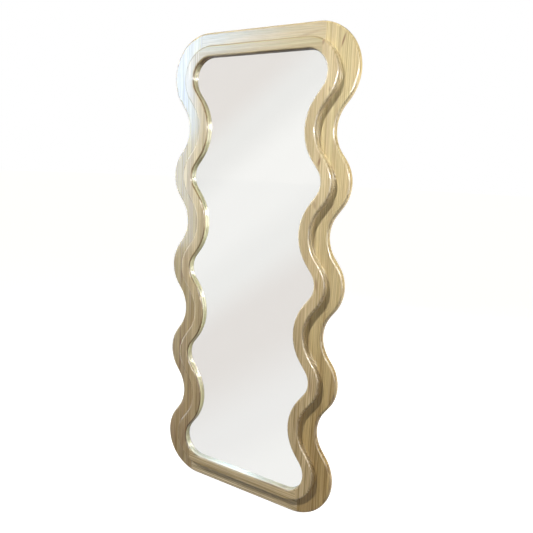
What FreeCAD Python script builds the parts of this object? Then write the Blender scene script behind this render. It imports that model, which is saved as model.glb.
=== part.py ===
# Full-length floor mirror with a wavy two-layer wooden frame.
# Millimetres. X runs across the mirror, Z up, and the mirror faces -Y.
# Every piece is drawn with the back of the wooden frame at y = 0 and the
# bottom edge of the wood at z = 0, and is then placed so that the origin
# lies under the middle of the whole part, on the floor.
import FreeCAD, Part
import Sketcher
import math
import os
from FreeCAD import Vector

os.makedirs("parts", exist_ok=True)
doc = FreeCAD.newDocument("floor_mirror")
sheet = doc.addObject("Spreadsheet::Sheet", "sizes")

# Driving sizes, in millimetres unless the name ends in share.
driving = [
    # outline of the frame: straight top and bottom, four dips on each side
    ("frame_height", 1700.0),
    ("frame_width", 738.0),
    ("corner_radius", 150.0),
    ("wave_depth", 66.5),
    ("flank_share", 0.149),
    ("bump_share", 0.515),
    # opening: the same number of waves, drawn with rounder dips
    ("rail_width", 86.5),
    ("stile_width", 102.0),
    ("opening_wave_depth", 69.5),
    ("opening_flank_share", 0.195),
    ("opening_bump_share", 0.295),
    ("joint_inset", 21.4),
    # the two layers of wood
    ("back_layer", 18.0),
    ("face_layer", 20.0),
    ("face_rail_width", 39.0),
    ("face_stile_width", 42.0),
    ("outer_round", 8.0),
    ("back_round", 2.0),
    ("face_round", 8.0),
    ("opening_round", 6.0),
    # mirror and what holds it
    ("rabbet_width", 10.0),
    ("face_rabbet", 5.0),
    ("glass_thickness", 4.0),
    ("glass_gap", 1.5),
    ("film_thickness", 0.3),
    ("panel_thickness", 3.0),
    ("panel_lap", 12.0),
    ("panel_gap", 0.5),
    # screws of the back panel
    ("panel_screw_radius", 1.5),
    ("panel_screw_head_radius", 3.2),
    ("panel_screw_head_height", 1.6),
    ("panel_screw_length", 13.0),
    ("screw_gap", 0.05),
    # dowels in the corner joints
    ("dowel_radius", 4.0),
    ("dowel_length", 40.0),
    ("dowel_chamfer", 1.0),
    ("dowel_end_gap", 1.0),
    ("face_dowel_length", 30.0),
    ("dowel_gap", 0.05),
    # strap hangers with a swinging ring
    ("strap_width", 14.0),
    ("strap_length", 54.0),
    ("strap_thickness", 1.0),
    ("strap_corner", 3.0),
    ("loop_lift", 0.4),
    ("loop_jog", 4.0),
    ("ring_wire_radius", 1.5),
    ("ring_play", 0.1),
    ("ring_half_width", 11.5),
    ("ring_corner", 3.0),
    ("ring_side", 11.0),
    ("hanger_screw_radius", 1.9),
    ("hanger_screw_head_radius", 3.6),
    ("hanger_screw_head_height", 2.2),
    ("hanger_screw_length", 14.0),
    ("first_screw_drop", 30.0),
    ("second_screw_drop", 46.0),
    # rubber pieces
    ("bumper_radius", 7.0),
    ("bumper_height", 7.0),
    ("bumper_round", 2.5),
    ("pad_length", 60.0),
    ("pad_depth", 7.0),
    ("pad_height", 2.0),
    ("pad_inset", 39.0),
]
for row, (alias, value) in enumerate(driving, start=1):
    sheet.set("A%d" % row, alias)
    sheet.set("B%d" % row, repr(value))
    sheet.setAlias("B%d" % row, alias)
doc.recompute()


def val(alias):
    return float(sheet.get(alias))


def cell(alias):
    return "<<sizes>>." + alias


# The wave. On each side the edge runs from the top corner, an outward bump,
# through four dips and three bumps to the bottom corner. Bumps and dips are
# arcs joined by straight flanks that lean by one angle all along.
DIPS = 4


def wave_form(half_pitch, depth, flank_share, bump_share):
    """Flank length, bump radius, dip radius and lean of one wave."""
    flank = half_pitch * flank_share
    both = (half_pitch ** 2 + depth ** 2 - flank ** 2) / (2 * depth)
    sine = (both * half_pitch - flank * (both - depth)) / (both ** 2 + flank ** 2)
    return flank, both * bump_share, both * (1 - bump_share), math.asin(sine)


def corner_run(radius, flank, dip, lean):
    """Height from the straight edge to the middle of the first dip."""
    return radius * (1 + math.sin(lean)) + flank * math.cos(lean) + dip * math.sin(lean)


def find_half_pitch():
    """Half the height of one wave, so that the waves fill the frame."""
    low = val("frame_height") / (8 * DIPS)
    high = val("frame_height") / (2 * DIPS - 2)
    for _ in range(60):
        middle = (low + high) / 2
        flank, bump, dip, lean = wave_form(
            middle, val("wave_depth"), val("flank_share"), val("bump_share"))
        run = corner_run(val("corner_radius"), flank, dip, lean)
        if 2 * run + (DIPS - 1) * 2 * middle > val("frame_height"):
            high = middle
        else:
            low = middle
    return (low + high) / 2


half_pitch = find_half_pitch()
outer_flank, outer_bump, outer_dip, outer_lean = wave_form(
    half_pitch, val("wave_depth"), val("flank_share"), val("bump_share"))
outer_half_top = val("frame_width") / 2 - val("corner_radius")
first_dip_drop = corner_run(val("corner_radius"), outer_flank, outer_dip, outer_lean)
outer_dip_x = (outer_half_top + val("corner_radius") * math.cos(outer_lean)
               - outer_flank * math.sin(outer_lean)
               - outer_dip * (1 - math.cos(outer_lean)))


def wave_path(half_top, top, corner, bump, dip, flank, lean):
    """Right half of a wavy outline, from top centre to bottom centre.

    A line is ("line", start, end). An arc is ("arc", centre, radius, start
    angle, end angle, side), where side is 1 for a bump and -1 for a dip.
    """
    path = []
    place = Vector(0, 0, top)
    heading = 0.0

    def line(length):
        nonlocal place
        end = place + Vector(math.cos(heading), 0, math.sin(heading)) * length
        path.append(("line", place, end))
        place = end

    def arc(turn, radius):
        nonlocal place, heading
        side = 1 if turn < 0 else -1
        normal = heading + side * math.pi / 2
        centre = place - Vector(math.cos(normal), 0, math.sin(normal)) * radius
        path.append(("arc", centre, radius, normal, normal + turn, side))
        place = centre + Vector(math.cos(normal + turn), 0, math.sin(normal + turn)) * radius
        heading += turn

    line(half_top)
    arc(-(math.pi / 2 + lean), corner)
    for number in range(DIPS):
        line(flank)
        arc(2 * lean, dip)
        line(flank)
        if number < DIPS - 1:
            arc(-2 * lean, bump)
    arc(-(math.pi / 2 + lean), corner)
    line(place.x)
    return path


def widen(path, amount):
    """The same outline moved outwards by amount, or inwards if negative."""
    moved = []
    for item in path:
        if item[0] == "line":
            run = (item[2] - item[1]).normalize()
            out = Vector(-run.z, 0, run.x) * amount
            moved.append(("line", item[1] + out, item[2] + out))
        else:
            moved.append(("arc", item[1], item[2] + item[5] * amount) + item[3:])
    return moved


outer_path = wave_path(outer_half_top, val("frame_height"), val("corner_radius"),
                       outer_bump, outer_dip, outer_flank, outer_lean)


def inner_wave(rail, stile, bump, dip, flank, lean):
    """A wave inside the frame whose dips keep the height of the outer dips.

    rail is its distance from the top and bottom edge and stile that from
    the outer dips, so the radius of its corners follows.
    """
    corner = ((first_dip_drop - rail - flank * math.cos(lean) - dip * math.sin(lean))
              / (1 + math.sin(lean)))
    half_top = (outer_dip_x - stile - corner * math.cos(lean) + flank * math.sin(lean)
                + dip * (1 - math.cos(lean)))
    return wave_path(half_top, val("frame_height") - rail, corner, bump, dip, flank, lean)


open_flank, open_bump, open_dip, open_lean = wave_form(
    half_pitch, val("opening_wave_depth"), val("opening_flank_share"),
    val("opening_bump_share"))
open_path = inner_wave(val("rail_width"), val("stile_width"), open_bump, open_dip,
                       open_flank, open_lean)
face_path = inner_wave(
    val("rail_width") - val("face_rail_width"), val("stile_width") - val("face_stile_width"),
    open_bump + val("face_stile_width"), open_dip - val("face_stile_width"),
    open_flank, open_lean)
outer_bows = [item for item in outer_path if item[0] == "arc"]
corner_bow = outer_bows[0]
open_bow = [item for item in open_path if item[0] == "arc"][0]

# Rails and stiles meet on upright lines, a little inside the widest point of
# the opening's corners.
joint_x = open_bow[1].x + open_bow[2] - val("joint_inset")


def arc_point(item, share):
    angle = item[3] + (item[4] - item[3]) * share
    return item[1] + Vector(math.cos(angle), 0, math.sin(angle)) * item[2]


# Two points closer than this are one point.
SAME = 1e-4


def distance(item, spot):
    """How far a point is from a line or arc of an outline."""
    if item[0] == "line":
        run = item[2] - item[1]
        along = min(max((spot - item[1]).dot(run) / run.dot(run), 0), 1)
        return (item[1] + run * along - spot).Length
    ray = spot - item[1]
    low, high = sorted(item[3:5])
    turn = (math.atan2(ray.z, ray.x) - low) % (2 * math.pi)
    if turn <= high - low:
        return abs(ray.Length - item[2])
    return min((tip - spot).Length for tip in ends(item))


def ends(item):
    if item[0] == "line":
        return item[1], item[2]
    return arc_point(item, 0), arc_point(item, 1)


def split(path, x):
    """Cut the right half of an outline at x: top, side and bottom pieces."""
    top, side, bottom = [], list(path), []
    for keep, first in ((top, True), (bottom, False)):
        while True:
            item = side[0] if first else side[-1]
            if item[0] == "line" and max(item[1].x, item[2].x) <= x:
                keep.append(item)
                side.remove(item)
                continue
            if item[0] == "line":
                cut = Vector(x, 0, item[1].z)
                inner = ("line", item[1], cut) if first else ("line", cut, item[2])
                outer = ("line", cut, item[2]) if first else ("line", item[1], cut)
            else:
                swing = math.acos((x - item[1].x) / item[2])
                angle = swing if first else -swing
                inner = item[:3] + ((item[3], angle) if first else (angle, item[4])) + item[5:]
                outer = item[:3] + ((angle, item[4]) if first else (item[3], angle)) + item[5:]
            keep.append(inner)
            side[0 if first else -1] = outer
            break
    return top, side, list(reversed(bottom))


def mirrored(path):
    """The path reflected to the left side, running the other way."""
    flipped = []
    for item in reversed(path):
        if item[0] == "line":
            flipped.append(("line", Vector(-item[2].x, 0, item[2].z),
                            Vector(-item[1].x, 0, item[1].z)))
        else:
            flipped.append(("arc", Vector(-item[1].x, 0, item[1].z), item[2],
                            math.pi - item[4], math.pi - item[3], item[5]))
    return flipped


def backwards(path):
    turned = []
    for item in reversed(path):
        if item[0] == "line":
            turned.append(("line", item[2], item[1]))
        else:
            turned.append(item[:3] + (item[4], item[3]) + item[5:])
    return turned


def straighten(path):
    """Two lines that meet in one run become one line."""
    joined = []
    for item in path:
        last = joined[-1] if joined else None
        if last and item[0] == "line" and last[0] == "line":
            one = last[2] - last[1]
            two = item[2] - item[1]
            if one.cross(two).Length < 1e-6 * one.Length * two.Length:
                joined[-1] = ("line", last[1], item[2])
                continue
        joined.append(item)
    return joined


def strip(piece, outside, inside):
    """Closed outline of one rail or stile between two wavy edges."""
    index = {"top": 0, "stile": 1, "bottom": 2}[piece]
    far = split(outside, joint_x)[index]
    near = split(inside, joint_x)[index]
    if piece == "top":
        far = mirrored(far) + far
        near = mirrored(near) + near
    if piece == "bottom":
        far = far + mirrored(far)
        near = near + mirrored(near)
    far = straighten(far)
    near = straighten(backwards(near))
    start = ends(far[-1])[1], ends(near[0])[0]
    close = ends(near[-1])[1], ends(far[0])[0]
    return far + [("line",) + start] + near + [("line",) + close]


def whole(path):
    """Closed outline of a sheet that fills the whole wavy shape."""
    loop = path + mirrored(path)
    joined = straighten(loop)
    first, last = joined[0], joined[-1]
    if first[0] == "line" and last[0] == "line":
        joined = [("line", last[1], first[2])] + joined[1:-1]
    return joined


# Sketches lie on the back plane of the frame, so their y axis is height.
def plane(body, role):
    for feature in body.Origin.OriginFeatures:
        if feature.Role == role:
            return feature


def new_body(label):
    body = doc.addObject("PartDesign::Body", label)
    body.Label = label
    return body


def new_sketch(body, name, role, offset=None):
    sketch = body.newObject("Sketcher::SketchObject", name)
    sketch.AttachmentSupport = [(plane(body, role), "")]
    sketch.MapMode = "FlatFace"
    if offset:
        sketch.setExpression("AttachmentOffset.Base.z", offset)
    return sketch


def draw(sketch, outline):
    shapes = []
    for item in outline:
        if item[0] == "line":
            shapes.append(Part.LineSegment(Vector(item[1].x, item[1].z, 0),
                                           Vector(item[2].x, item[2].z, 0)))
        else:
            three = [arc_point(item, share) for share in (0, 0.5, 1)]
            shapes.append(Part.Arc(*[Vector(spot.x, spot.z, 0) for spot in three]))
    sketch.addGeometry(shapes, False)


def pad(body, sketch, length, name, middle=False):
    feature = body.newObject("PartDesign::Pad", name)
    feature.Profile = sketch
    feature.setExpression("Length", length)
    if middle:
        feature.SideType = "Symmetric"
    doc.recompute()
    return feature


def pocket(body, sketch, length, name, reverse=False, middle=False):
    before = body.Shape.Volume
    feature = body.newObject("PartDesign::Pocket", name)
    feature.Profile = sketch
    feature.setExpression("Length", length)
    feature.Reversed = reverse
    if middle:
        feature.SideType = "Symmetric"
    doc.recompute()
    if body.Shape.Volume >= before:
        raise RuntimeError("%s of %s cuts nothing" % (name, body.Label))
    return feature


def round_edges(body, base, path, height, radius):
    """Round the edges that follow an outline at a height above the back."""
    marks = path + mirrored(path)
    chosen = []
    for number, edge in enumerate(base.Shape.Edges, start=1):
        tips = [vertex.Point.y for vertex in edge.Vertexes]
        middle = edge.valueAt((edge.FirstParameter + edge.LastParameter) / 2)
        if max(abs(spot + height) for spot in tips + [middle.y]) > SAME:
            continue
        spot = Vector(middle.x, 0, middle.z)
        if any(distance(mark, spot) < SAME for mark in marks):
            chosen.append("Edge%d" % number)
    feature = body.newObject("PartDesign::Fillet", radius)
    feature.Base = (base, chosen)
    feature.setExpression("Radius", cell(radius))
    doc.recompute()
    return feature


def place(thing):
    """Set a piece over the origin: half the depth forward, on the pads."""
    thing.setExpression(
        "Placement.Base.y",
        "(%s + %s - %s) / 2" % (cell("back_layer"), cell("face_layer"), cell("bumper_height")))
    thing.setExpression("Placement.Base.z", cell("pad_height"))


pieces = []

# Points along the edge of the back panel where its screws go: the middle of
# each dip and each inner bump, and two on each rail.
rabbet_path = widen(open_path, val("rabbet_width"))
lap_path = widen(open_path, val("rabbet_width") + val("panel_lap"))
screw_path = widen(open_path, val("rabbet_width") + val("panel_lap") / 2)
bows = [item for item in screw_path if item[0] == "arc"]
middle_share = 0.5
corner_screw_share = 0.75
rail_screw_share = 0.45
stile_spots = [arc_point(item, middle_share) for item in bows[1:-1]]
stile_spots.append(arc_point(bows[0], corner_screw_share))
stile_spots.append(arc_point(bows[-1], 1 - corner_screw_share))
rail_x = joint_x * rail_screw_share
top_spots = [Vector(side * rail_x, 0, screw_path[0][1].z) for side in (-1, 1)]
bottom_spots = [Vector(side * rail_x, 0, screw_path[-1][1].z) for side in (-1, 1)]

# Strap hangers sit beside the top corners, midway between the edge of the
# back panel and the outer edge of the frame.
lap_bow = [item for item in lap_path if item[0] == "arc"][0]
hanger_x = (corner_bow[1].x + corner_bow[2] + lap_bow[1].x + lap_bow[2]) / 2
ring_axis_z = corner_bow[1].z
loop_radius = val("ring_wire_radius") + val("ring_play") + val("strap_thickness")
ring_axis_y = loop_radius + val("loop_lift")
screw_drops = (val("first_screw_drop"), val("second_screw_drop"))

# Dowels cross each corner joint: two in the back layer, one in the face.
def crossing(path, last=False):
    top, side, bottom = split(path, joint_x)
    return ends(side[-1])[1].z if last else ends(side[0])[0].z


dowel_shares = (0.28, 0.66)
high = crossing(outer_path)
low = crossing(rabbet_path)
dowel_heights_top = [high + (low - high) * share for share in dowel_shares]
dowel_heights_bottom = [val("frame_height") - spot for spot in dowel_heights_top]
face_dowel_top = (crossing(face_path) + crossing(open_path)) / 2
face_dowel_bottom = (crossing(face_path, True) + crossing(open_path, True)) / 2


def circle(sketch, x, y, radius):
    sketch.addGeometry(
        Part.Circle(Vector(x, y, 0), Vector(0, 0, 1), radius), False)


def cut_joint_holes(body, sides, heights, depth, length):
    """Dowel holes across the joint faces at the given sides."""
    for side in sides:
        sketch = new_sketch(body, "dowel_holes", "YZ_Plane")
        sketch.AttachmentOffset.Base = Vector(0, 0, side * joint_x)
        for height in heights:
            circle(sketch, -depth, height, val("dowel_radius") + val("dowel_gap"))
        pocket(body, sketch, "%s + 2 * %s" % (cell(length), cell("dowel_end_gap")),
               "dowel_pocket", middle=True)


def back_member(label, piece, left=False):
    """One rail or stile of the back layer."""
    body = new_body(label)
    outline = strip(piece, outer_path, rabbet_path)
    ledge = strip(piece, lap_path, widen(open_path, val("rabbet_width") - val("panel_lap")))
    spots = {"top": top_spots, "bottom": bottom_spots, "stile": stile_spots}[piece]
    if left:
        outline, ledge = mirrored(outline), mirrored(ledge)
        spots = [Vector(-spot.x, 0, spot.z) for spot in spots]
    sketch = new_sketch(body, "outline", "XZ_Plane")
    draw(sketch, outline)
    blank = pad(body, sketch, cell("back_layer"), "blank")
    front_round = round_edges(body, blank, outer_path, val("back_layer"), "outer_round")
    round_edges(body, front_round, outer_path, 0, "back_round")
    recess = new_sketch(body, "panel_recess", "XZ_Plane")
    draw(recess, ledge)
    pocket(body, recess, cell("panel_thickness"), "recess", reverse=True)
    drill = new_sketch(body, "panel_screw_holes", "XZ_Plane")
    for spot in spots:
        circle(drill, spot.x, spot.z, val("panel_screw_radius") + val("screw_gap"))
    pocket(body, drill, "%s + %s" % (cell("panel_screw_length"), cell("screw_gap")),
           "pilot_holes", reverse=True)
    if piece == "stile":
        side = -1 if left else 1
        anchor = new_sketch(body, "hanger_screw_holes", "XZ_Plane")
        for drop in screw_drops:
            circle(anchor, side * hanger_x, ring_axis_z - drop,
                   val("hanger_screw_radius") + val("screw_gap"))
        pocket(body, anchor, "%s + %s" % (cell("hanger_screw_length"), cell("screw_gap")),
               "hanger_holes", reverse=True)
        cut_joint_holes(body, (side,), dowel_heights_top + dowel_heights_bottom,
                        val("back_layer") / 2, "dowel_length")
    else:
        heights = dowel_heights_top if piece == "top" else dowel_heights_bottom
        cut_joint_holes(body, (-1, 1), heights, val("back_layer") / 2, "dowel_length")
    place(body)
    pieces.append(body)


def face_member(label, piece, left=False):
    """One rail or stile of the raised face layer."""
    body = new_body(label)
    outline = strip(piece, face_path, open_path)
    if left:
        outline = mirrored(outline)
    sketch = new_sketch(body, "outline", "XZ_Plane", cell("back_layer"))
    draw(sketch, outline)
    blank = pad(body, sketch, cell("face_layer"), "blank")
    front = val("back_layer") + val("face_layer")
    first = round_edges(body, blank, face_path, front, "face_round")
    round_edges(body, first, open_path, front, "opening_round")
    ledge = strip(piece, rabbet_path, widen(open_path, -val("rabbet_width")))
    if left:
        ledge = mirrored(ledge)
    rabbet = new_sketch(body, "glass_rabbet", "XZ_Plane", cell("back_layer"))
    draw(rabbet, ledge)
    pocket(body, rabbet, cell("face_rabbet"), "rabbet", reverse=True)
    middle = val("back_layer") + val("face_layer") / 2
    if piece == "stile":
        side = -1 if left else 1
        cut_joint_holes(body, (side,), (face_dowel_top, face_dowel_bottom),
                        middle, "face_dowel_length")
    else:
        height = face_dowel_top if piece == "top" else face_dowel_bottom
        cut_joint_holes(body, (-1, 1), (height,), middle, "face_dowel_length")
    place(body)
    pieces.append(body)


back_member("back_top_rail", "top")
back_member("back_bottom_rail", "bottom")
back_member("back_left_stile", "stile", left=True)
back_member("back_right_stile", "stile")
face_member("face_top_rail", "top")
face_member("face_bottom_rail", "bottom")
face_member("face_left_stile", "stile", left=True)
face_member("face_right_stile", "stile")


# Sheets in the rabbet, from the front: glass, film, foam and back panel.
def sheet_piece(label, outline, start, thickness, holes=()):
    body = new_body(label)
    sketch = new_sketch(body, "outline", "XZ_Plane", start)
    draw(sketch, outline)
    for spot, radius in holes:
        circle(sketch, spot.x, spot.z, radius)
    pad(body, sketch, thickness, "sheet")
    place(body)
    pieces.append(body)


glass_outline = whole(widen(open_path, val("rabbet_width") - val("glass_gap")))
behind_glass = "%s + %s - %s" % (cell("back_layer"), cell("face_rabbet"), cell("glass_thickness"))
behind_film = "%s - %s" % (behind_glass, cell("film_thickness"))
sheet_piece("mirror_glass", glass_outline, behind_glass, cell("glass_thickness"))
sheet_piece("safety_film", glass_outline, behind_film, cell("film_thickness"))
sheet_piece("foam_sheet", glass_outline, cell("panel_thickness"),
            "%s - %s" % (behind_film, cell("panel_thickness")))
panel_spots = top_spots + bottom_spots + stile_spots
panel_spots = panel_spots + [Vector(-spot.x, 0, spot.z) for spot in stile_spots]
sheet_piece(
    "back_panel",
    whole(widen(open_path, val("rabbet_width") + val("panel_lap") - val("panel_gap"))),
    None, cell("panel_thickness"),
    [(spot, val("panel_screw_radius") + val("screw_gap")) for spot in panel_spots])


# Groups of like fasteners and rubber pieces, each a separate solid.
head_round_share = 0.6


def group(label, solids):
    feature = doc.addObject("Part::Feature", label)
    feature.Label = label
    feature.Shape = Part.makeCompound(solids)
    place(feature)
    pieces.append(feature)


def pan_screw(seat, x, z, shank_radius, shank_length, head_radius, head_height):
    """Round-headed screw driven in along -Y, its head standing on seat."""
    shank = Part.makeCylinder(shank_radius, shank_length + head_height / 2,
                              Vector(x, seat - shank_length, z), Vector(0, 1, 0))
    head = Part.makeCylinder(head_radius, head_height, Vector(x, seat, z), Vector(0, 1, 0))
    rim = [edge for edge in head.Edges if abs(edge.BoundBox.YMin - seat - head_height) < 1e-6
           and abs(edge.BoundBox.YMax - seat - head_height) < 1e-6]
    head = head.makeFillet(head_height * head_round_share, rim)
    return shank.fuse(head).removeSplitter().Solids[0]


group("back_panel_screws", [
    pan_screw(0, spot.x, spot.z, val("panel_screw_radius"), val("panel_screw_length"),
              val("panel_screw_head_radius"), val("panel_screw_head_height"))
    for spot in panel_spots])


def dowel(x, y, z, length):
    """Fluteless dowel lying across a joint, both ends chamfered."""
    rod = Part.makeCylinder(val("dowel_radius"), length,
                            Vector(x - length / 2, y, z), Vector(1, 0, 0))
    rims = [edge for edge in rod.Edges if edge.BoundBox.XLength < 1e-6]
    return rod.makeChamfer(val("dowel_chamfer"), rims)


group("back_layer_dowels", [
    dowel(side * joint_x, -val("back_layer") / 2, height, val("dowel_length"))
    for side in (-1, 1) for height in dowel_heights_top + dowel_heights_bottom])
group("face_layer_dowels", [
    dowel(side * joint_x, -val("back_layer") - val("face_layer") / 2, height,
          val("face_dowel_length"))
    for side in (-1, 1) for height in (face_dowel_top, face_dowel_bottom)])


def place_hanger(body, side):
    place(body)
    body.Placement.Base.x = side * hanger_x


def hanger_strap(label, side):
    """Steel strap rolled into a loop at its top end for the ring's bar."""
    body = new_body(label)
    roll = new_sketch(body, "side_view", "YZ_Plane")
    thick = val("strap_thickness")
    foot = ring_axis_z - val("strap_length")
    touch = math.sqrt(loop_radius ** 2 - (ring_axis_y - thick) ** 2)
    a = Vector(0, foot, 0)
    b = Vector(0, ring_axis_z - val("loop_jog"), 0)
    c = Vector(ring_axis_y - loop_radius, ring_axis_z, 0)
    over = Vector(ring_axis_y + loop_radius * math.cos(math.pi / 4),
                  ring_axis_z + loop_radius * math.sin(math.pi / 4), 0)
    d = Vector(thick, ring_axis_z - touch, 0)
    e = Vector(thick, foot, 0)
    roll.addGeometry([Part.LineSegment(a, b), Part.LineSegment(b, c), Part.Arc(c, over, d),
                      Part.LineSegment(d, e), Part.LineSegment(e, a)], False)
    circle(roll, ring_axis_y, ring_axis_z, val("ring_wire_radius") + val("ring_play"))
    blank = pad(body, roll, cell("strap_width"), "strap", middle=True)
    lower = []
    for number, edge in enumerate(blank.Shape.Edges, start=1):
        box = edge.BoundBox
        if box.XLength < 1e-6 and box.ZLength < 1e-6 and abs(box.ZMin - foot) < 1e-6:
            lower.append("Edge%d" % number)
    corners = body.newObject("PartDesign::Fillet", "corners")
    corners.Base = (blank, lower)
    corners.setExpression("Radius", cell("strap_corner"))
    doc.recompute()
    holes = new_sketch(body, "screw_holes", "XZ_Plane")
    for drop in screw_drops:
        circle(holes, 0, ring_axis_z - drop, val("hanger_screw_radius") + val("screw_gap"))
    pocket(body, holes, "2 * " + cell("strap_thickness"), "screw_holes_cut", middle=False)
    place_hanger(body, side)
    pieces.append(body)


def hanger_ring(label, side):
    """D-shaped steel ring whose straight bar turns in the strap's loop."""
    body = new_body(label)
    spine = new_sketch(body, "spine", "XZ_Plane")
    spine.AttachmentOffset.Base = Vector(0, 0, -ring_axis_y)
    half, corner = val("ring_half_width"), val("ring_corner")
    top = ring_axis_z
    elbow = top - corner
    turn = top - val("ring_side")
    bend = corner * (1 - math.sin(math.pi / 4))
    spots = [Vector(0, top, 0), Vector(half - corner, top, 0),
             Vector(half - bend, top - bend, 0), Vector(half, elbow, 0),
             Vector(half, turn, 0), Vector(0, turn - half, 0), Vector(-half, turn, 0),
             Vector(-half, elbow, 0), Vector(bend - half, top - bend, 0),
             Vector(corner - half, top, 0)]
    spine.addGeometry([
        Part.LineSegment(spots[0], spots[1]), Part.Arc(spots[1], spots[2], spots[3]),
        Part.LineSegment(spots[3], spots[4]), Part.Arc(spots[4], spots[5], spots[6]),
        Part.LineSegment(spots[6], spots[7]), Part.Arc(spots[7], spots[8], spots[9]),
        Part.LineSegment(spots[9], spots[0])], False)
    wire = new_sketch(body, "wire", "YZ_Plane")
    circle(wire, ring_axis_y, ring_axis_z, val("ring_wire_radius"))
    doc.recompute()
    pipe = body.newObject("PartDesign::AdditivePipe", "ring")
    pipe.Profile = wire
    pipe.Spine = spine
    doc.recompute()
    place_hanger(body, side)
    pieces.append(body)


hanger_strap("left_hanger_strap", -1)
hanger_ring("left_hanger_ring", -1)
hanger_strap("right_hanger_strap", 1)
hanger_ring("right_hanger_ring", 1)
group("hanger_screws", [
    pan_screw(val("strap_thickness"), side * hanger_x, ring_axis_z - drop,
              val("hanger_screw_radius"), val("hanger_screw_length"),
              val("hanger_screw_head_radius"), val("hanger_screw_head_height"))
    for side in (-1, 1) for drop in screw_drops])

# Rubber bumpers keep the back of the frame off the wall, one near each
# corner, and two thin pads stand under the bottom rail.
bumper_reach_share = 0.78


def bumper(x, z):
    round_post = Part.makeCylinder(val("bumper_radius"), val("bumper_height"),
                                   Vector(x, 0, z), Vector(0, 1, 0))
    rim = [edge for edge in round_post.Edges
           if abs(edge.BoundBox.YMin - val("bumper_height")) < 1e-6]
    return round_post.makeFillet(val("bumper_round"), rim)


bumper_x = corner_bow[1].x + corner_bow[2] * bumper_reach_share * math.cos(math.pi / 4)
bumper_high = corner_bow[1].z + corner_bow[2] * bumper_reach_share * math.sin(math.pi / 4)
group("wall_bumpers", [
    bumper(side * bumper_x, height)
    for side in (-1, 1) for height in (bumper_high, val("frame_height") - bumper_high)])

flat_middle = (val("back_layer") - val("outer_round") + val("back_round")) / 2


# Each pad ends a little inside the place where the corner starts to curve.
pad_middle = outer_half_top - val("pad_inset") - val("pad_length") / 2


def pad_box(side):
    return Part.makeBox(
        val("pad_length"), val("pad_depth"), val("pad_height"),
        Vector(side * pad_middle - val("pad_length") / 2,
               -flat_middle - val("pad_depth") / 2, -val("pad_height")))


group("floor_pads", [pad_box(-1), pad_box(1)])

doc.recompute()

# Every object must have been built, and every piece must be sound.
for thing in doc.Objects:
    if "Invalid" in thing.State or "Error" in thing.State:
        raise RuntimeError("%s failed: %s" % (thing.Label, thing.State))
for piece in pieces:
    shape = piece.Shape
    if shape.isNull() or not shape.isValid():
        raise RuntimeError("%s has no sound shape" % piece.Label)
    box = shape.optimalBoundingBox(False)
    print("%-20s solids %2d volume %11.1f x %8.2f %8.2f y %7.2f %7.2f z %8.2f %8.2f" % (
        piece.Label, len(shape.Solids), shape.Volume, box.XMin, box.XMax, box.YMin,
        box.YMax, box.ZMin, box.ZMax))
    shape.exportStep("parts/%s.step" % piece.Label)
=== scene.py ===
# Floor mirror with a wavy two-layer frame of pale lacquered wood.
# Metres. X runs across the mirror, Z is up, and the mirror faces -Y. The
# sections follow the mirror as it is put together, from the back layer out.
import bmesh
import bpy
import math
from mathutils import Matrix, Vector


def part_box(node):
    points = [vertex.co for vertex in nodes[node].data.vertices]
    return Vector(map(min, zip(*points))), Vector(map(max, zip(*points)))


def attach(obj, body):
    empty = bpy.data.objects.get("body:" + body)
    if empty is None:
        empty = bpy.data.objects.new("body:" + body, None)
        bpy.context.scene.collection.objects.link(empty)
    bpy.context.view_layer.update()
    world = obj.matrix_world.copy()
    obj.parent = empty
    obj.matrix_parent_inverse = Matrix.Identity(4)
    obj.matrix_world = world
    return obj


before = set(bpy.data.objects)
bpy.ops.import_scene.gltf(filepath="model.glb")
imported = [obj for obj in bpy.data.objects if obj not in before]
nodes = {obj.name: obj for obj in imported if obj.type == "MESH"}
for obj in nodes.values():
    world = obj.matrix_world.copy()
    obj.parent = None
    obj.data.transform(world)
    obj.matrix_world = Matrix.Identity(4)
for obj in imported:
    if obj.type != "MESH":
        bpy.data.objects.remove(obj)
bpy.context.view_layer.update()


# Back layer of the frame: two rails and two stiles of pale solid wood, glued
# and dowelled at the corners, sawn to the wave, rounded and clear lacquered.
# Grain runs along each board, so the stiles show upright lines.
def feed(tree, node, feeds):
    """Link or set the inputs of a node."""
    for socket, value in feeds.items():
        if isinstance(value, bpy.types.NodeSocket):
            tree.links.new(value, node.inputs[socket])
        else:
            node.inputs[socket].default_value = value


def step(tree, kind, feeds, **settings):
    """One new node of a finish, with its inputs linked or set."""
    made = tree.nodes.new("ShaderNode" + kind)
    for name, value in settings.items():
        setattr(made, name, value)
    feed(tree, made, feeds)
    return made


def figure(tree, kind, *values):
    """A sum worked out for every point of the surface."""
    return step(tree, "Math", dict(enumerate(values)), operation=kind).outputs[0]


def times(tree, first, second):
    """One number multiplied by another."""
    return figure(tree, "MULTIPLY", first, second)


def plus(tree, first, second):
    """One number added to another."""
    return figure(tree, "ADD", first, second)


def arrow_sum(tree, kind, *arrows):
    """A sum of points or arrows, which have three numbers each."""
    return step(tree, "VectorMath", dict(enumerate(arrows)), operation=kind).outputs


def parts_of(tree, arrow):
    """The three numbers of a point or an arrow."""
    return step(tree, "SeparateXYZ", {"Vector": arrow}).outputs


def place_on_mirror(tree):
    """Where a point of the surface lies, in metres."""
    return step(tree, "TexCoord", {}).outputs["Object"]


def between(tree, value, low, high, start=0.0, end=1.0):
    """A smooth change from start to end while value goes from low to high."""
    made = step(tree, "MapRange", {"Value": value, "From Min": low, "From Max": high,
                                   "To Min": start, "To Max": end},
                interpolation_type="SMOOTHSTEP")
    return made.outputs["Result"]


def stain(tree, share, under, over, how="MIX"):
    """Lay one colour over another by a share of nought to one."""
    made = step(tree, "Mix", {0: share, 6: under, 7: over}, data_type="RGBA", blend_type=how)
    return made.outputs[2]


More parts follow.
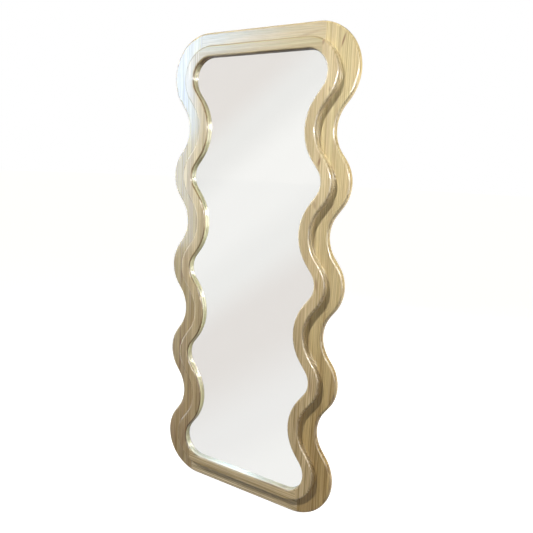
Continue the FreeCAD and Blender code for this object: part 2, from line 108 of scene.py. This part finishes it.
def stretched(tree, point, size, turn=(0, 0, 0), shift=(0, 0, 0)):
    """The point turned, moved and scaled."""
    return step(tree, "Mapping", {"Vector": point, "Location": shift, "Rotation": turn,
                                  "Scale": size}).outputs[0]


def cloud(tree, point, detail=2.0, rough=0.5):
    """Soft noise, from about nought to one."""
    return step(tree, "TexNoise", {"Vector": point, "Scale": 1.0, "Detail": detail,
                                   "Roughness": rough}).outputs["Fac"]


def new_finish(name):
    """A new material, its node tree and its shader."""
    finish = bpy.data.materials.new(name)
    finish.use_nodes = True
    tree = finish.node_tree
    return finish, tree, tree.nodes["Principled BSDF"]


def stave_lot(tree, grain, stave, shift):
    """Three numbers by chance for each stave, since boards are glued up from
    staves that differ a little in tone and in rings."""
    number = figure(tree, "DIVIDE", plus(tree, parts_of(tree, grain)[0], 10 + shift), stave)
    lot = step(tree, "TexWhiteNoise", {"W": figure(tree, "FLOOR", number)},
               noise_dimensions="1D").outputs
    return step(tree, "SeparateColor", {"Color": lot["Color"]}).outputs


def wandering(tree, grain):
    """The grain wanders from side to side along the board."""
    drift_width = 0.022
    drift = step(tree, "TexNoise", {"Vector": stretched(tree, grain, (5, 5, 1.3)), "Scale": 1.0,
                                    "Detail": 2.0}).outputs["Color"]
    drift = arrow_sum(tree, "SUBTRACT", drift, (0.5, 0.5, 0.5))["Vector"]
    drift = arrow_sum(tree, "MULTIPLY", drift, (drift_width, drift_width, 0))["Vector"]
    return arrow_sum(tree, "ADD", grain, drift)["Vector"]


def late_wood(tree, bent, heart, lean, chance):
    """The dark part of growth rings about 5 mm wide, none alike."""
    rings_per_metre = 190.0
    changes_per_metre = 45.0
    unevenness = 3.0
    stave_scatter = 0.06
    parts = parts_of(tree, bent)
    across = figure(tree, "SUBTRACT", parts[0], heart[0])
    across = plus(tree, across, times(tree, chance, stave_scatter))
    behind = figure(tree, "SUBTRACT", parts[1], heart[1])
    behind = plus(tree, behind, times(tree, parts[2], lean))
    radius = figure(tree, "SQRT", plus(tree, times(tree, across, across),
                                       times(tree, behind, behind)))
    uneven = step(tree, "TexNoise", {"W": times(tree, radius, changes_per_metre), "Scale": 1.0,
                                     "Detail": 1.0}, noise_dimensions="1D").outputs["Fac"]
    count = plus(tree, times(tree, radius, rings_per_metre), times(tree, uneven, unevenness))
    ring = figure(tree, "FRACT", count)
    late = times(tree, between(tree, ring, 0.25, 0.9), between(tree, ring, 1.0, 0.93))
    fade = cloud(tree, stretched(tree, bent, (28, 28, 1.5)))
    return times(tree, late, between(tree, fade, 0.3, 0.7, 0.25, 1.0))


def dark_streak_and_shade_line(tree, tone, place, fibre, mark):
    """A short ragged dark mark, darkest at its middle. It draws streaks in the wood, and painted
    shade lines.
    """
    x, z, length, width, tilt, depth = mark
    streak_and_shade_brown = (0.25, 0.13, 0.07, 1)
    raggedness = 0.6
    spot = stretched(tree, place, (1, 0, 1), (0, 0, 0), (-x, 0, -z))
    spot = stretched(tree, spot, (1, 1, 1), (0, math.radians(tilt), 0))
    spot = stretched(tree, spot, (2 / width, 1, 2 / length))
    reach = arrow_sum(tree, "LENGTH", spot)["Value"]
    ragged = plus(tree, reach, times(tree, figure(tree, "SUBTRACT", fibre, 0.5), raggedness))
    there = times(tree, between(tree, ragged, 1.15, 0.25), depth)
    return stain(tree, there, tone, streak_and_shade_brown)


def wall_light_and_shade(tree, tone, low_down, across_rail, painted_wall_light, painted_wall_light_low, painted_rim_shade, under):
    """Painted light and shade where the surface turns away from the front."""
    painted_under_shade = (0.22, 0.15, 0.09, 1)
    painted_corner_shade = (0.36, 0.27, 0.15, 1)
    normal = parts_of(tree, step(tree, "TexCoord", {}).outputs["Normal"])
    facing = figure(tree, "ABSOLUTE", normal[1])
    # painted light: a plain tone on the walls that face right, or up on a rail
    if painted_wall_light:
        inner = between(tree, normal[2 if across_rail else 0], 0.0, 0.3)
        painted_wall_share = times(tree, between(tree, facing, 0.45, 0.10, 0.0, 0.85), inner)
        painted_wall_share = times(tree, painted_wall_share, between(tree, low_down, 0.1, 0.7, 1.0, painted_wall_light_low))
        tone = stain(tree, painted_wall_share, tone, painted_wall_light + (1,))
    # painted shade on the walls that look down
    painted_shade_below = times(tree, between(tree, facing, 0.75, 0.35), between(tree, normal[2], -0.25, -0.85))
    tone = stain(tree, times(tree, painted_shade_below, under), tone, painted_under_shade, "MULTIPLY")
    # painted shade on the rounded corners
    turned = times(tree, between(tree, facing, 0.97, 0.85), between(tree, facing, 0.10, 0.35))
    return stain(tree, times(tree, turned, painted_rim_shade), tone, painted_corner_shade, "MULTIPLY")


def lacquered_board(name, along="Z", heart=(-0.35, 0.12), lean=0.0, shift=0.0, stave=0.07,
                    pale=(0.74, 0.61, 0.34), grey=(0.60, 0.48, 0.29), painted_foot_shade=(0.92, 0.88, 0.86),
                    bold=1.0, painted_wall_light=None, painted_wall_light_low=1.0, painted_rim_shade=0.0, under=0.0, marks=()):
    """Clear lacquered solid wood.

    heart is where the pith of the log lies, across and behind the board, and
    lean is how far it slants in a metre. shift moves the pattern along, so
    that no two boards match, and stave is the width of one glued strip.
    pale and grey are the tones of its broad bands. Towards its lower end it
    takes the foot tone, a painted shade, and bold is how strong its lines are.
    edge is painted light: a plainer tone for the wall that faces right, or up on
    a rail, and painted_wall_light_low is how much of that tone is left low down.
    rim is how much painted shade darkens the rounded corners, and under how
    much painted shade darkens the walls that look down.
    marks are short dark streaks, and lines of painted shade: x, z, length, width,
    turn and depth of tone.
    """
    finish, tree, wood = new_finish(name)
    place = place_on_mirror(tree)
    turn = (0, 0, 0) if along == "Z" else (0, math.radians(90), 0)
    grain = stretched(tree, place, (1, 1, 1), turn, (0, 0, shift))
    chance = stave_lot(tree, grain, stave, shift)
    bent = wandering(tree, grain)
    late = late_wood(tree, bent, heart, lean, chance[0])

    # fibres, pores, bands and streaks are long along the board and thin across
    fibre = cloud(tree, stretched(tree, bent, (620, 620, 7)), 3.0, 0.65)
    pore = between(tree, cloud(tree, stretched(tree, bent, (1500, 1500, 38)), 1.0), 0.60, 0.72)
    band = between(tree, cloud(tree, stretched(tree, bent, (75, 75, 0.9)), 2.0), 0.38, 0.62)
    streak = between(tree, cloud(tree, stretched(tree, bent, (170, 170, 1.6)), 2.0), 0.51, 0.64)
    cast = cloud(tree, stretched(tree, grain, (3.0, 3.0, 2.2)), 2.0)
    low_down = between(tree, parts_of(tree, place)[2], 1.25, 0.15)

    late_brown = (0.42, 0.305, 0.125)
    streak_brown = tuple(part * 0.8 for part in late_brown)
    honey = (0.66, 0.50, 0.27, 1)
    tone = stain(tree, times(tree, band, 0.75), pale + (1,), grey + (1,))
    drawn = plus(tree, 0.85 * bold, times(tree, low_down, 0.4 * bold))
    tone = stain(tree, times(tree, late, times(tree, drawn, 0.90)), tone, late_brown + (1,))
    streak = times(tree, streak, plus(tree, 0.35, times(tree, low_down, 0.65)))
    tone = stain(tree, times(tree, streak, times(tree, drawn, 0.70)), tone, streak_brown + (1,))
    tone = stain(tree, between(tree, cast, 0.45, 0.75, 0.0, 0.35), tone, honey)
    # painted shade: towards its lower end the board takes the darker foot tone
    tone = stain(tree, low_down, tone, painted_foot_shade + (1,), "MULTIPLY")

    # fibres and pores lighten and darken it, and each stave has its own depth
    light = between(tree, fibre, 0.25, 0.75, 0.82, 1.10)
    light = times(tree, light, plus(tree, 0.94, times(tree, chance[1], 0.10)))
    light = figure(tree, "SUBTRACT", light, times(tree, pore, 0.16))
    shade = step(tree, "CombineColor", {0: light, 1: light, 2: light}).outputs[0]
    tone = stain(tree, 1.0, tone, shade, "MULTIPLY")
    for mark in marks:
        tone = dark_streak_and_shade_line(tree, tone, place, fibre, mark)
    tone = wall_light_and_shade(tree, tone, low_down, along == "X", painted_wall_light, painted_wall_light_low, painted_rim_shade, under)

    pore_depth = 0.00006
    relief = figure(tree, "SUBTRACT", times(tree, fibre, 0.5), pore)
    bump = step(tree, "Bump", {"Height": relief, "Strength": 0.35, "Distance": pore_depth})
    feed(tree, wood, {"Base Color": tone, "Normal": bump.outputs[0],
                      "Roughness": between(tree, fibre, 0.2, 0.8, 0.44, 0.52),
                      "Specular IOR Level": 0.2, "Coat Weight": 1.0, "Coat Roughness": 0.13,
                      "Coat IOR": 1.5})
    return finish


def dress(name, finish):
    """Give every slot of a piece its finish."""
    for slot in nodes[name].material_slots:
        slot.material = finish


dress("back_top_rail", lacquered_board(
    "top_rail_wood", along="X", heart=(1.62, 0.05), lean=0.10, shift=0.13, stave=0.2,
    pale=(0.53, 0.475, 0.31), bold=0.5,
    marks=((0.17, 1.661, 0.13, 0.012, -79, 0.25),)))
dress("back_bottom_rail", lacquered_board(
    "bottom_rail_wood", along="X", heart=(-0.30, 0.10), shift=0.71, stave=0.2,
    pale=(0.88, 0.76, 0.50), painted_foot_shade=(1.0, 0.98, 1.0)))
dress("back_left_stile", lacquered_board(
    "left_stile_wood", heart=(-0.62, 0.10), shift=0.37, stave=0.045, bold=1.4,
    pale=(0.66, 0.59, 0.355), grey=(0.43, 0.35, 0.28), painted_foot_shade=(0.93, 0.85, 0.82),
    # these three marks are painted shade: dark lines beside the face layer's edge
    marks=((-0.3190, 0.50, 0.26, 0.012, 1, 0.9), (-0.3175, 0.83, 0.15, 0.011, 1, 0.75),
           (-0.3380, 0.13, 0.16, 0.012, 4, 0.5))))
dress("back_right_stile", lacquered_board(
    "right_stile_wood", heart=(-0.12, 0.16), shift=0.0, stave=0.055, bold=1.15,
    pale=(0.76, 0.65, 0.37), painted_foot_shade=(0.74, 0.63, 0.46),
    marks=((0.308, 1.637, 0.055, 0.008, -17, 0.85), (0.275, 1.455, 0.02, 0.005, -8, 0.4))))

# Face layer: four narrower boards of the same wood glued on the front, round
# the opening. Both of their front edges are rounded over before lacquering.
# Their walls and rounded corners carry painted shade, and some walls painted light.
dress("face_top_rail", lacquered_board(
    "face_top_wood", along="X", heart=(1.35, 0.12), lean=0.02, shift=0.45, stave=0.2,
    pale=(0.58, 0.51, 0.30), bold=0.8, painted_rim_shade=0.5, under=0.95))
dress("face_bottom_rail", lacquered_board(
    "face_bottom_wood", along="X", heart=(0.30, 0.12), shift=0.93, stave=0.2,
    pale=(0.80, 0.67, 0.41), painted_foot_shade=(0.96, 0.93, 0.92), painted_wall_light=(0.62, 0.60, 0.44),
    painted_rim_shade=0.45, under=0.8))
dress("face_left_stile", lacquered_board(
    "face_left_wood", heart=(-0.55, 0.14), shift=0.58, stave=0.05, bold=1.3,
    pale=(0.80, 0.68, 0.43), grey=(0.50, 0.39, 0.26), painted_foot_shade=(0.88, 0.83, 0.80),
    painted_wall_light=(0.60, 0.54, 0.31), painted_rim_shade=0.9, under=0.8,
    marks=((-0.270, 0.165, 0.22, 0.028, -12, 0.45),)))
dress("face_right_stile", lacquered_board(
    "face_right_wood", heart=(0.02, 0.20), shift=0.26, stave=0.06, bold=1.1,
    pale=(0.73, 0.61, 0.38), painted_wall_light=(0.98, 0.86, 0.60), painted_wall_light_low=0.0, under=0.6,
    marks=((0.247, 1.630, 0.025, 0.014, -20, 0.6), (0.259, 1.263, 0.04, 0.012, -15, 0.7),
           (0.280, 1.488, 0.022, 0.010, 0, 0.45), (0.252, 1.124, 0.035, 0.014, 12, 0.45),
           (0.276, 0.861, 0.06, 0.012, 4, 0.6), (0.277, 0.510, 0.12, 0.012, 3, 0.55))))

# Dowels: plain beech pegs glued into drilled holes across the corner joints
# of both layers, out of sight once the frame is together.
beech = lacquered_board("dowel_beech", along="X", heart=(1.0, 0.3), pale=(0.62, 0.44, 0.28))
dress("back_layer_dowels", beech)
dress("face_layer_dowels", beech)

# Mirror: 4 mm float glass laid in the rabbet behind the face layer. Its back
# carries the silver, which is a coat of its own just inside the glass.
glass, tree, clear = new_finish("float_glass")
feed(tree, clear, {"Base Color": (0.985, 0.997, 0.988, 1), "Roughness": 0.0, "IOR": 1.5,
                   "Transmission Weight": 1.0, "Specular IOR Level": 0.0})
dress("mirror_glass", glass)

silver_depth = 0.00002
silver_inset = 0.0025
same_place = 0.00001
glass_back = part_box("mirror_glass")[1].y
plate = bmesh.new()
plate.from_mesh(nodes["mirror_glass"].data)
bmesh.ops.remove_doubles(plate, verts=plate.verts, dist=same_place)
front_and_rim = [face for face in plate.faces
                 if any(abs(vert.co.y - glass_back) >= same_place for vert in face.verts)]
bmesh.ops.delete(plate, geom=front_and_rim, context="FACES")
bmesh.ops.dissolve_limit(plate, angle_limit=0.01, verts=plate.verts, edges=plate.edges)
bmesh.ops.translate(plate, verts=plate.verts, vec=(0, -silver_inset, 0))
sheet = bmesh.ops.extrude_face_region(plate, geom=plate.faces[:])
corners = [part for part in sheet["geom"] if isinstance(part, bmesh.types.BMVert)]
bmesh.ops.translate(plate, verts=corners, vec=(0, -silver_depth, 0))
bmesh.ops.triangulate(plate, faces=plate.faces[:])
bmesh.ops.recalc_face_normals(plate, faces=plate.faces)
silver_mesh = bpy.data.meshes.new("silver_coat")
plate.to_mesh(silver_mesh)
plate.free()
silver_coat = bpy.data.objects.new("silver_coat", silver_mesh)
bpy.context.scene.collection.objects.link(silver_coat)

# painted reflection: the silver's tone changes softly in slanting bands, like a room seen in it
silver, tree, metal = new_finish("silver_backing")
bright = (0.955, 0.945, 0.93)
soft_grey = (0.825, 0.785, 0.76)
warm_grey = (0.82, 0.78, 0.755)
band_slope = (-0.75, 0, 1.0)
band_reach = 1.8
height = arrow_sum(tree, "DOT_PRODUCT", place_on_mirror(tree), band_slope)["Value"]
painted_reflection = step(tree, "ValToRGB", {"Fac": figure(tree, "DIVIDE", height, band_reach)})
ramp = painted_reflection.color_ramp
ramp.interpolation = "EASE"
ramp.elements[0].color = bright + (1,)
ramp.elements[1].color = warm_grey + (1,)
for share, colour in ((0.02, bright), (0.15, (0.90, 0.885, 0.875)), (0.33, soft_grey),
                      (0.39, soft_grey), (0.50, (0.90, 0.89, 0.875)), (0.60, bright),
                      (0.67, bright), (0.77, (0.865, 0.855, 0.84)), (0.86, warm_grey),
                      (0.95, warm_grey)):
    ramp.elements.new(share).color = colour + (1,)
feed(tree, metal, {"Base Color": painted_reflection.outputs["Color"], "Metallic": 1.0, "Roughness": 0.0})
silver_mesh.materials.append(silver)
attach(silver_coat, "frame")

# Splinter film: a thin blue-grey plastic film stuck to the back of the glass,
# which holds the pieces together if it breaks.
film, tree, skin = new_finish("splinter_film")
haze = cloud(tree, stretched(tree, place_on_mirror(tree), (9, 9, 9)), 3.0)
feed(tree, skin, {"Base Color": stain(tree, haze, (0.20, 0.28, 0.36, 1), (0.26, 0.34, 0.42, 1)),
                  "Roughness": 0.4})
dress("safety_film", film)

# Foam: a sheet of pale grey packing foam that takes up the slack between the
# film and the back panel, and presses the glass against the face layer.
foam, tree, cells = new_finish("packing_foam")
bubble = step(tree, "TexVoronoi", {"Vector": place_on_mirror(tree), "Scale": 600.0})
feed(tree, cells, {"Base Color": stain(tree, bubble.outputs["Distance"],
                                       (0.55, 0.56, 0.57, 1), (0.78, 0.78, 0.77, 1)),
                   "Roughness": 0.9})
dress("foam_sheet", foam)

# Back panel: brown hardboard cut to the wave and screwed into a shallow
# recess of the back layer. Pressed fibres and straw show in its face.
board, tree, fibres = new_finish("hardboard")
place = place_on_mirror(tree)
speck = cloud(tree, stretched(tree, place, (900, 900, 900)), 3.0, 0.7)
patch = cloud(tree, stretched(tree, place, (14, 14, 14)), 3.0)
straw = step(tree, "TexNoise", {"Vector": stretched(tree, place, (260, 260, 60), (0, 0.6, 0)),
                                "Scale": 1.0, "Detail": 2.0, "Distortion": 2.5}).outputs["Fac"]
tone = stain(tree, speck, (0.23, 0.13, 0.065, 1), (0.36, 0.23, 0.125, 1))
tone = stain(tree, times(tree, patch, 0.35), tone, (0.27, 0.165, 0.09, 1))
tone = stain(tree, times(tree, between(tree, straw, 0.60, 0.72), 0.5), tone,
             (0.46, 0.32, 0.19, 1))
speck_height = 0.0001
bump = step(tree, "Bump", {"Height": speck, "Strength": 0.4, "Distance": speck_height})
feed(tree, fibres, {"Base Color": tone, "Normal": bump.outputs[0], "Roughness": 0.62})
dress("back_panel", board)


# Screws and hangers: zinc-plated steel. The straps are pressed strip rolled
# round the bar of each D ring, and two screws hold each to the stile.
def plated_steel(name, colour, rough):
    """Bright steel with the faint crystals and rubs of its plating."""
    finish, tree, plating = new_finish(name)
    place = place_on_mirror(tree)
    spangle = step(tree, "TexVoronoi", {"Vector": place, "Scale": 900.0}).outputs["Distance"]
    rub = cloud(tree, stretched(tree, place, (300, 300, 90)), 3.0)
    dull = tuple(part * 0.82 for part in colour)
    tone = stain(tree, times(tree, spangle, rub), colour + (1,), dull + (1,))
    feed(tree, plating, {"Base Color": tone, "Metallic": 1.0,
                         "Roughness": between(tree, rub, 0.2, 0.8, rough * 0.8, rough * 1.3)})
    return finish


zinc = plated_steel("bright_zinc", (0.66, 0.68, 0.70), 0.28)
for name in ("left_hanger_strap", "right_hanger_strap", "left_hanger_ring",
             "right_hanger_ring", "hanger_screws", "back_panel_screws"):
    dress(name, zinc)

# Rubber: four round bumpers that keep the back of the frame off the wall, and
# two thin pads glued below the bottom rail. All are dark grey and dusty.
rubber, tree, soft = new_finish("grey_rubber")
dust = cloud(tree, stretched(tree, place_on_mirror(tree), (400, 400, 400)), 4.0)
feed(tree, soft, {"Base Color": stain(tree, dust, (0.035, 0.035, 0.037, 1),
                                      (0.065, 0.064, 0.062, 1)),
                  "Roughness": 0.72})
dress("wall_bumpers", rubber)
dress("floor_pads", rubber)

# Studio: a white floor in a white room. The room shows white to the camera,
# straight or in the silver, and lights the frame more gently than it shows.
floor_reach = 60
floor_shape = bmesh.new()
bmesh.ops.create_grid(floor_shape, x_segments=1, y_segments=1, size=floor_reach)
floor_mesh = bpy.data.meshes.new("studio_floor")
floor_shape.to_mesh(floor_mesh)
floor_shape.free()
floor = bpy.data.objects.new("studio_floor", floor_mesh)
bpy.context.scene.collection.objects.link(floor)


def white_glow(tree, strength):
    """A surface that shines white."""
    return step(tree, "Emission", {"Color": (1, 1, 1, 1), "Strength": strength}).outputs[0]


def either(tree, share, first, second):
    """The first look, or the second where share is one."""
    return step(tree, "MixShader", {0: share, 1: first, 2: second}).outputs[0]


paper, tree, matt = new_finish("white_paper")
feed(tree, matt, {"Base Color": (0.40, 0.40, 0.40, 1), "Roughness": 1.0,
                  "Specular IOR Level": 0.0})
path = step(tree, "LightPath", {}).outputs
floor_glow = 0.93
lit = step(tree, "AddShader", {0: matt.outputs[0],
                               1: white_glow(tree, floor_glow)}).outputs[0]
# in reflections the floor glows, brighter to the right, and lights the lacquer like a lamp
from_right = between(tree, parts_of(tree, place_on_mirror(tree))[0], 0.2, 0.9, 0.35, 1.3)
in_silver = times(tree, path["Is Transmission Ray"],
                  figure(tree, "LESS_THAN", path["Ray Depth"], 3.5))
shown = either(tree, path["Is Camera Ray"], matt.outputs[0], lit)
shown = either(tree, path["Is Glossy Ray"], shown, white_glow(tree, from_right))
shown = either(tree, in_silver, shown, white_glow(tree, 1.0))
feed(tree, tree.nodes["Material Output"], {"Surface": shown})
floor_mesh.materials.append(paper)

room = bpy.data.worlds.new("white_room")
room.use_nodes = True
bpy.context.scene.world = room
tree = room.node_tree
fill = tree.nodes["Background"]
feed(tree, fill, {"Color": (1.0, 0.88, 0.62, 1), "Strength": 0.21})
backdrop = step(tree, "Background", {"Color": (1, 1, 1, 1), "Strength": 1.0}).outputs[0]
path = step(tree, "LightPath", {}).outputs
seen = figure(tree, "MAXIMUM", path["Is Camera Ray"], path["Is Transmission Ray"])
share_in_gloss = 0.2
seen = figure(tree, "MAXIMUM", seen, times(tree, path["Is Glossy Ray"], share_in_gloss))
feed(tree, tree.nodes["World Output"],
     {"Surface": either(tree, seen, fill.outputs[0], backdrop)})


# Lamps: a key lamp high on the left, soft panels to the right and behind, thin
# strips that brush the walls of the opening, and a cool window that shows in
# the lacquer on the left. From the camera, none of them shows in the mirror.
def lamp(name, place, aim, size, power, colour, matt=True, gloss=True, in_silver=False,
         spread=math.pi):
    """A soft panel of light. matt and gloss say which surfaces answer to it."""
    light = bpy.data.lights.new(name, "AREA")
    light.shape = "RECTANGLE"
    light.size, light.size_y = size
    light.energy = power
    light.color = colour
    light.spread = spread
    holder = bpy.data.objects.new(name, light)
    holder.location = place
    holder.rotation_euler = (Vector(aim) - Vector(place)).to_track_quat("-Z", "Y").to_euler()
    holder.visible_camera = False
    holder.visible_transmission = in_silver
    holder.visible_diffuse = matt
    holder.visible_glossy = gloss
    bpy.context.scene.collection.objects.link(holder)


key_beam = 0.487
lamp("key_lamp", (-3.2, -4.4, 6.3), (0.1, 0.0, 1.32), (0.5, 0.5), 16.5,
     (1.0, 1.0, 0.98), gloss=False, spread=key_beam)
lamp("corner_lamp", (0.75, -0.6, 1.80), (0.33, 0.0, 1.4), (0.4, 0.4), 2.1,
     (1.0, 0.98, 0.90), in_silver=True)
lamp("rim_panel", (1.7, 0.9, 1.55), (0.35, 0.0, 1.3), (1.0, 1.0), 32.0,
     (1.0, 0.92, 0.70), gloss=False)
lamp("back_lamp", (0.6, 2.6, 2.0), (0.0, 0.0, 0.9), (1.5, 1.5), 36.0,
     (1.0, 1.0, 0.98), gloss=False)
lamp("side_glow", (2.4, -2.2, 1.3), (0.2, 0.0, 0.9), (2.6, 2.0), 85.0,
     (1.0, 1.0, 0.96), matt=False, in_silver=True)
lamp("opening_strip", (0.05, -0.020, 0.85), (-1.0, -0.020, 0.85), (0.016, 1.4), 1.35,
     (0.80, 0.95, 1.0), gloss=False)
lamp("left_strip", (-1.15, -0.30, 0.85), (-0.3, 0.0, 0.85), (0.16, 1.9), 9.0,
     (0.90, 1.0, 1.0), matt=False)
lamp("right_strip", (2.4, -0.75, 1.3), (0.3, 0.0, 1.1), (0.7, 2.0), 26.0,
     (1.0, 1.0, 0.97), matt=False)
lamp("ledge_strip", (-0.03, -0.020, 0.20), (-0.03, -0.020, 0.09), (0.22, 0.016), 0.36,
     (0.32, 0.52, 1.0), gloss=False)
window_y = -1.5
for name, x, z, size, power, colour in (
        ("cool_window", -1.985, 2.0, (1.03, 1.1), 56.0, (0.38, 0.63, 1.0)),
        ("cool_window_above", -1.335, 2.35, (0.27, 0.7), 6.0, (0.30, 0.60, 1.0)),
        ("cool_window_fade", -1.10, 2.35, (0.20, 0.7), 3.2, (0.33, 0.60, 1.0)),
        ("cool_window_end", -0.90, 2.35, (0.20, 0.7), 2.1, (0.38, 0.62, 1.0)),
        ("cool_window_tail", -0.65, 2.35, (0.30, 0.7), 1.4, (0.6, 0.75, 1.0)),
        ("cool_window_below", -1.985, 1.05, (1.0, 0.8), 16.0, (0.62, 0.80, 1.0))):
    lamp(name, (x, window_y, z), (x, 0.0, z), size, power, colour, matt=False)
lamp("front_strip", (1.6, -3.4, 1.9), (0.2, 0.0, 1.0), (2.2, 0.5), 190.0,
     (1.0, 1.0, 0.98), matt=False, in_silver=True)

# Camera: to the right of the mirror and above its middle, turned towards it,
# tipped down and rolled a little. The picture is square.
picture_side = 533
focal_length = 546.92
sensor_side = 36.0
eye = (1.0553, -1.6365, 1.2221)
turned = math.radians(31.140)
tipped = math.radians(90 - 9.759)
rolled = math.radians(2.708)
lens = bpy.data.cameras.new("photo_view")
lens.sensor_width = sensor_side
lens.lens = sensor_side * focal_length / picture_side
camera = bpy.data.objects.new("photo_view", lens)
camera.matrix_world = (Matrix.Translation(eye) @ Matrix.Rotation(turned, 4, "Z")
                       @ Matrix.Rotation(tipped, 4, "X") @ Matrix.Rotation(rolled, 4, "Z"))
bpy.context.scene.collection.objects.link(camera)
bpy.context.scene.camera = camera
bpy.context.scene.view_settings.view_transform = "Standard"
